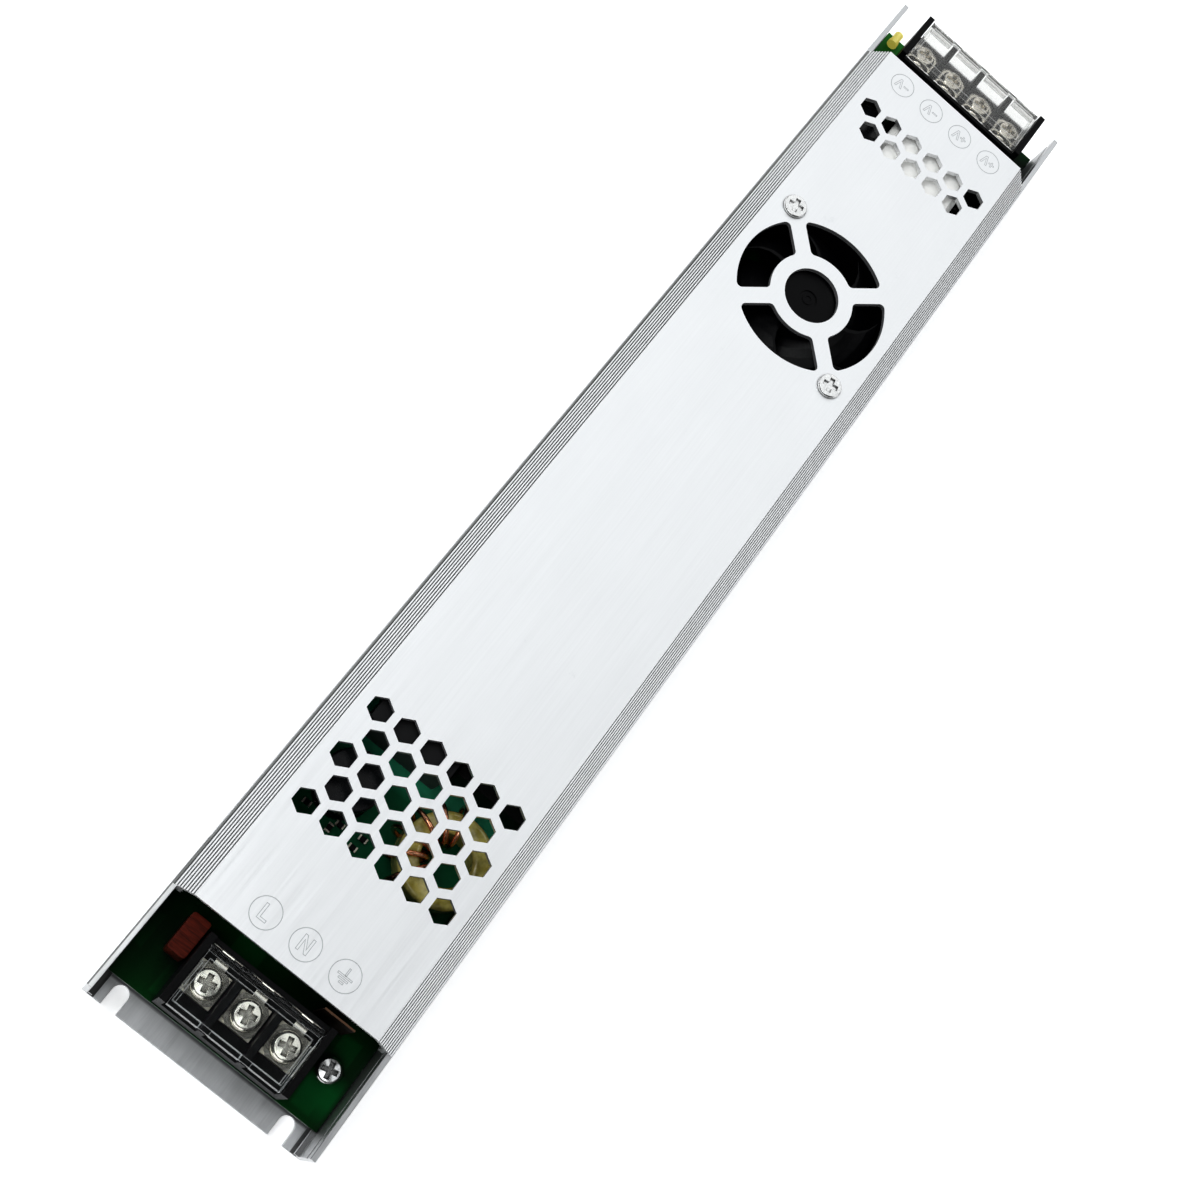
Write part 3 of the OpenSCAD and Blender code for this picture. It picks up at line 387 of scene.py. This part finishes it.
def makeClear(name, spec):
    material, tree, shader = startMaterial(name)
    flow = scaledNoise(tree, lidSet["flow"])
    low, high = spec["rough"]
    tree.links.new(spread(tree, flow.outputs["Fac"], low, high), shader.inputs["Roughness"])
    bump = put(tree, "ShaderNodeBump", Strength=lidSet["bump"], Distance=lidSet["depth"])
    tree.links.new(flow.outputs["Fac"], bump.inputs["Height"])
    tree.links.new(bump.outputs["Normal"], shader.inputs["Normal"])
    shader.inputs["Base Color"].default_value = (*spec["tint"], 1)
    # Painted highlight: rounded edges let less light through and show the pale tint as bright lines
    soft = put(tree, "ShaderNodeBevel", samples=6, Radius=spec["edge"])
    flat = put(tree, "ShaderNodeNewGeometry")
    turned = put(tree, "ShaderNodeVectorMath", operation="DOT_PRODUCT")
    tree.links.new(soft.outputs["Normal"], turned.inputs[0])
    tree.links.new(flat.outputs["Normal"], turned.inputs[1])
    clear = spread(tree, turned.outputs["Value"], 1 - spec["edgeHighlight"], 1 - spec["haze"], *lidSet["edgeHighlightFrom"])
    tree.links.new(clear, shader.inputs["Transmission Weight"])
    shader.inputs["IOR"].default_value = lidSet["ior"]
    # Lamp light goes through to what lies under the lid
    path = put(tree, "ShaderNodeLightPath")
    through = put(tree, "ShaderNodeBsdfTransparent", Color=(*spec["tint"], 1))
    mix = put(tree, "ShaderNodeMixShader")
    tree.links.new(path.outputs["Is Shadow Ray"], mix.inputs["Fac"])
    tree.links.new(shader.outputs["BSDF"], mix.inputs[1])
    tree.links.new(through.outputs["BSDF"], mix.inputs[2])
    tree.links.new(mix.outputs["Shader"], tree.nodes["Material Output"].inputs["Surface"])
    return material


surfaces.update({name: makeClear(name, spec) for name, spec in clearSets.items()})

# Which surface each CAD node wears, nickelSteel where none is named
nodeSurfaces = {
    "base_channel": "baseAluminium", "top_cover": "coverAluminium", "heat_spreader": "bareAluminium",
    "insulating_sheet": "sheetFilm", "circuit_board": "boardLaminate", "board_standoffs": "platedSteel",
    "board_screws": "platedSteel", "fan_screws": "platedSteel", "fan_nuts": "platedSteel",
    "input_block": "blackMoulding", "output_block": "blackMoulding", "input_contacts": "tinnedBrass",
    "output_contacts": "tinnedBrass", "input_lid": "clearPlastic", "output_lid": "hazyPlastic",
    "fan_frame": "fanPlastic", "fan_rotor": "fanPlastic", "fan_bearing": "bronze", "fan_stator": "copper",
    "fuse": "fuseMoulding", "surge_disc": "discLacquer", "box_capacitors": "greyMoulding",
    "insulating_strip": "brownFibre", "choke_core": "yellowCoating", "choke_winding": "copper",
    "drum_choke": "canSleeve", "bridge_rectifier": "blackEpoxy", "bulk_capacitors": "canSleeve",
    "switch_transistors": "blackEpoxy", "transformer_core": "ferrite", "transformer_winding": "yellowTape",
    "output_rectifiers": "blackEpoxy", "output_choke_core": "greenCoating", "output_choke_winding": "copper",
    "control_chips": "blackEpoxy", "output_capacitors": "canSleeve", "lamp": "lampPlastic",
}
# The terminal screws wear the lighter copy, painted bright for their highlights
nodeSurfaces.update({name: "litScrewSteel" for name in nodes if name.startswith("input_screw_")})


def dress(obj, material):
    if not obj.material_slots:
        obj.data.materials.append(material)
    for place in obj.material_slots:
        place.material = material


for name, obj in nodes.items():
    dress(obj, surfaces[nodeSurfaces.get(name, "nickelSteel")])

# Softly rounded moulded edges on the clear lids
roundSet = {"nodes": ("input_lid", "output_lid"), "width": 0.00012, "segments": 2, "angle": 40}


def roundEdges(spec):
    for name in spec["nodes"]:
        bevel = nodes[name].modifiers.new("softEdge", "BEVEL")
        bevel.width, bevel.segments = spec["width"], spec["segments"]
        bevel.limit_method, bevel.angle_limit = "ANGLE", math.radians(spec["angle"])


roundEdges(roundSet)
print("stage: materials on", len(nodes), "nodes")

# Engraved signs beside the terminals: a ring round each, letters in outline
signSet = {
    "ring": 3.15 * mm, "line": 0.17 * mm, "letterLine": 0.13 * mm, "height": 3.3 * mm,
    "top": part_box("top_cover")[1].z, "proud": 0.012 * mm, "sunk": 0.02 * mm,
    "inputY": -125.4 * mm, "outputY": 128.1 * mm, "pitch": 9.5 * mm, "ringSteps": 56,
}
signShapes = {
    "line": [[(-0.3, -0.5), (0.3, -0.5), (0.3, -0.35), (-0.13, -0.35), (-0.13, 0.5), (-0.3, 0.5)]],
    "neutral": [[(-0.36, -0.5), (-0.2, -0.5), (-0.2, 0.22), (0.2, -0.5), (0.36, -0.5), (0.36, 0.5),
                 (0.2, 0.5), (0.2, -0.22), (-0.2, 0.5), (-0.36, 0.5)]],
    "earth": [[(-0.05, 0.02), (0.05, 0.02), (0.05, 0.5), (-0.05, 0.5)],
              [(-0.5, -0.08), (0.5, -0.08), (0.5, 0.02), (-0.5, 0.02)],
              [(-0.33, -0.28), (0.33, -0.28), (0.33, -0.18), (-0.33, -0.18)],
              [(-0.15, -0.48), (0.15, -0.48), (0.15, -0.38), (-0.15, -0.38)]],
    "plus": [[(-0.56, -0.05), (-0.38, -0.05), (-0.38, -0.23), (-0.28, -0.23), (-0.28, -0.05), (-0.1, -0.05),
              (-0.1, 0.05), (-0.28, 0.05), (-0.28, 0.23), (-0.38, 0.23), (-0.38, 0.05), (-0.56, 0.05)],
             [(0.2, -0.4), (0.34, -0.4), (0.58, 0.4), (0.44, 0.4), (0.27, -0.2), (0.1, 0.4), (-0.04, 0.4)]],
    "minus": [[(-0.56, -0.05), (-0.14, -0.05), (-0.14, 0.05), (-0.56, 0.05)],
              [(0.2, -0.4), (0.34, -0.4), (0.58, 0.4), (0.44, 0.4), (0.27, -0.2), (0.1, 0.4), (-0.04, 0.4)]],
}


# A closed line of the given width, raised as a thin band
def addBand(mesh, points, width, low, high):
    sharpest = 0.35    # keeps the mitre of a sharp corner short
    count = len(points)
    sides = []
    for i in range(count):
        before, here, after = (Vector(points[(i + k) % count]) for k in (-1, 0, 1))
        a, b = (here - before).normalized(), (after - here).normalized()
        mitre = Vector((-(a + b).y, (a + b).x)).normalized()
        reach = width / 2 / max(sharpest, mitre.dot(Vector((-a.y, a.x))))
        sides.append((here + mitre * reach, here - mitre * reach))
    rings = []
    for z in (low, high):
        rings.append([[mesh.verts.new((p.x, p.y, z)) for p in pair] for pair in sides])
    for i in range(count):
        j = (i + 1) % count
        (lowA, lowB), (highA, highB) = (((r[i][0], r[j][0]), (r[i][1], r[j][1])) for r in rings)
        mesh.faces.new((highA[0], highB[0], highB[1], highA[1]))
        mesh.faces.new((lowA[1], highA[1], highA[0], lowA[0])[::-1])
        mesh.faces.new((lowB[0], highB[0], highB[1], lowB[1])[::-1])
        mesh.faces.new((lowA[0], lowA[1], lowB[1], lowB[0]))


def makeSigns(name, places, spec):
    mesh = bmesh.new()
    low, high = spec["top"] - spec["sunk"], spec["top"] + spec["proud"]
    for shape, x, y, facing in places:
        ring = [(x + spec["ring"] * math.cos(a), y + spec["ring"] * math.sin(a))
                for a in (2 * math.pi * k / spec["ringSteps"] for k in range(spec["ringSteps"]))]
        addBand(mesh, ring, spec["line"], low, high)
        for outline in signShapes[shape]:
            points = [(x + facing * u * spec["height"], y + facing * v * spec["height"]) for u, v in outline]
            addBand(mesh, points, spec["letterLine"], low, high)
    bmesh.ops.recalc_face_normals(mesh, faces=mesh.faces)
    data = bpy.data.meshes.new(name)
    mesh.to_mesh(data)
    mesh.free()
    obj = bpy.data.objects.new(name, data)
    bpy.context.scene.collection.objects.link(obj)
    return obj


engravedSet = {
    "light": (0.56, 0.57, 0.58), "dark": (0.44, 0.45, 0.46), "grain": (1800, 1800, 1800),
    "rough": (0.5, 0.65), "bump": 0.2, "metal": 0.8,
}
engraved = makeSurface("engravedLine", engravedSet)
step = signSet["pitch"]
inputPlaces = [(s, (i - 1) * step, signSet["inputY"], 1) for i, s in enumerate(("line", "neutral", "earth"))]
outputPlaces = [(s, (i - 1.5) * step, signSet["outputY"], -1)
                for i, s in enumerate(("minus", "minus", "plus", "plus"))]
for name, places in (("inputSigns", inputPlaces), ("outputSigns", outputPlaces)):
    piece = makeSigns(name, places, signSet)
    dress(piece, engraved)
    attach(piece, "case")
print("stage: engraved signs")

# Small parts soldered to the board under the near vents, with plated ends
chipSet = {
    "top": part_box("circuit_board")[1].z, "size": (2.0, 1.2, 0.6), "end": 0.4, "sunk": 0.02, "slim": 0.94,
    "places": [(-16.0, -100.8, 0), (-9.4, -102.0, 90), (-8.0, -100.2, 0), (-2.6, -99.6, 0), (-3.2, -102.2, 0),
               (-2.8, -106.0, 90), (-14.5, -104.4, 0)],
}


def addBlock(mesh, middle, size, turn):
    place = Matrix.Translation(middle) @ Matrix.Rotation(turn, 4, "Z") @ Matrix.Diagonal((*size, 1))
    bmesh.ops.create_cube(mesh, size=1.0, matrix=place)


def makeChips(spec):
    length, width, height = (v * mm for v in spec["size"])
    end, low = spec["end"] * mm, spec["top"] - spec["sunk"] * mm
    bodies, ends = bmesh.new(), bmesh.new()
    for x, y, angle in spec["places"]:
        turn, middle = math.radians(angle), Vector((x * mm, y * mm, low + height / 2))
        addBlock(bodies, middle, (length - 2 * end, width * spec["slim"], height * spec["slim"]), turn)
        for side in (-1, 1):
            shift = Matrix.Rotation(turn, 3, "Z") @ Vector((side * (length - end) / 2, 0, 0))
            addBlock(ends, middle + shift, (end, width, height), turn)
    for name, mesh, surface, slot in (("chipBodies", bodies, "blackEpoxy", "black_epoxy"),
                                      ("chipEnds", ends, "tinnedBrass", "tinned_brass")):
        data = bpy.data.meshes.new(name)
        mesh.to_mesh(data)
        mesh.free()
        piece = bpy.data.objects.new(name, data)
        bpy.context.scene.collection.objects.link(piece)
        dress(piece, surfaces[surface])
        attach(piece, "case")


makeChips(chipSet)
print("stage: small parts on the board")

# Pale floor and soft studio light
floorSet = {
    "half": 40.0, "z": -0.0003, "tone": (0.97, 0.97, 0.97), "glow": 0.42, "grain": (40, 40, 40),
    "rough": (0.7, 0.8), "shine": 0.1,
}


def makeFloor(spec):
    half, z = spec["half"], spec["z"]
    data = bpy.data.meshes.new("floor")
    corners = [(-half, -half, z), (half, -half, z), (half, half, z), (-half, half, z)]
    data.from_pydata(corners, [], [(0, 1, 2, 3)])
    floor = bpy.data.objects.new("floor", data)
    material, tree, shader = startMaterial("floorPaper")
    paper = scaledNoise(tree, spec["grain"])
    tree.links.new(spread(tree, paper.outputs["Fac"], *spec["rough"]), shader.inputs["Roughness"])
    shader.inputs["Base Color"].default_value = (*spec["tone"], 1)
    shader.inputs["Specular IOR Level"].default_value = spec["shine"]
    shader.inputs["Emission Color"].default_value = (*spec["tone"], 1)
    shader.inputs["Emission Strength"].default_value = spec["glow"]
    dress(floor, material)
    bpy.context.scene.collection.objects.link(floor)


makeFloor(floorSet)

lightTone = (0.97, 0.99, 1.0)
lightSets = {
    "keyBox": {"place": (-0.5, -0.1, 0.75), "aim": (0, -0.08, 0), "size": (0.4, 0.4), "power": 3.0},
    "topBox": {"place": (0.1, 0.75, 0.92), "aim": (0.03, 0.16, 0.02), "size": (1.3, 1.3), "power": 5.6},
    "frontBox": {"place": (-0.1, -0.65, 0.95), "aim": (0, -0.2, 0), "size": (1.0, 0.7), "power": 5.0},
    "leftBox": {"place": (-0.9, 0.25, 0.35), "aim": (0, 0, 0), "size": (0.6, 0.5), "power": 0.8},
    "rightBox": {"place": (0.9, 0.2, 0.5), "aim": (0, 0.05, 0), "size": (0.7, 1.2), "power": 2.6},
}


def makeLight(name, spec):
    data = bpy.data.lights.new(name, "AREA")
    data.energy = spec["power"]
    data.shape = "RECTANGLE"
    data.color = lightTone
    data.size, data.size_y = spec["size"]
    lamp = bpy.data.objects.new(name, data)
    lamp.location = spec["place"]
    away = Vector(spec["place"]) - Vector(spec["aim"])
    lamp.rotation_euler = away.to_track_quat("Z", "Y").to_euler()
    bpy.context.scene.collection.objects.link(lamp)


for name, spec in lightSets.items():
    makeLight(name, spec)

# A room that is bright to the left and behind, and dark overhead and in front
roomSet = {
    "towards": (-0.8, 0.6, 0), "from": (-0.1, 1), "bright": 0.52, "dim": 0.05, "tone": (0.98, 0.99, 1),
    "contrast": 0.82,
}


def makeRoom(spec):
    world = bpy.data.worlds.new("studio")
    world.use_nodes = True
    tree = world.node_tree
    coord = put(tree, "ShaderNodeTexCoord")
    along = put(tree, "ShaderNodeVectorMath", operation="DOT_PRODUCT")
    along.inputs[1].default_value = spec["towards"]
    tree.links.new(coord.outputs["Generated"], along.inputs[0])
    level = spread(tree, along.outputs["Value"], spec["dim"], spec["bright"], *spec["from"])
    tree.links.new(level, tree.nodes["Background"].inputs["Strength"])
    tree.nodes["Background"].inputs["Color"].default_value = (*spec["tone"], 1)
    bpy.context.scene.world = world
    bpy.context.scene.view_settings.view_transform = "Standard"
    bpy.context.scene.view_settings.gamma = spec["contrast"]


makeRoom(roomSet)
print("stage: floor and lights")
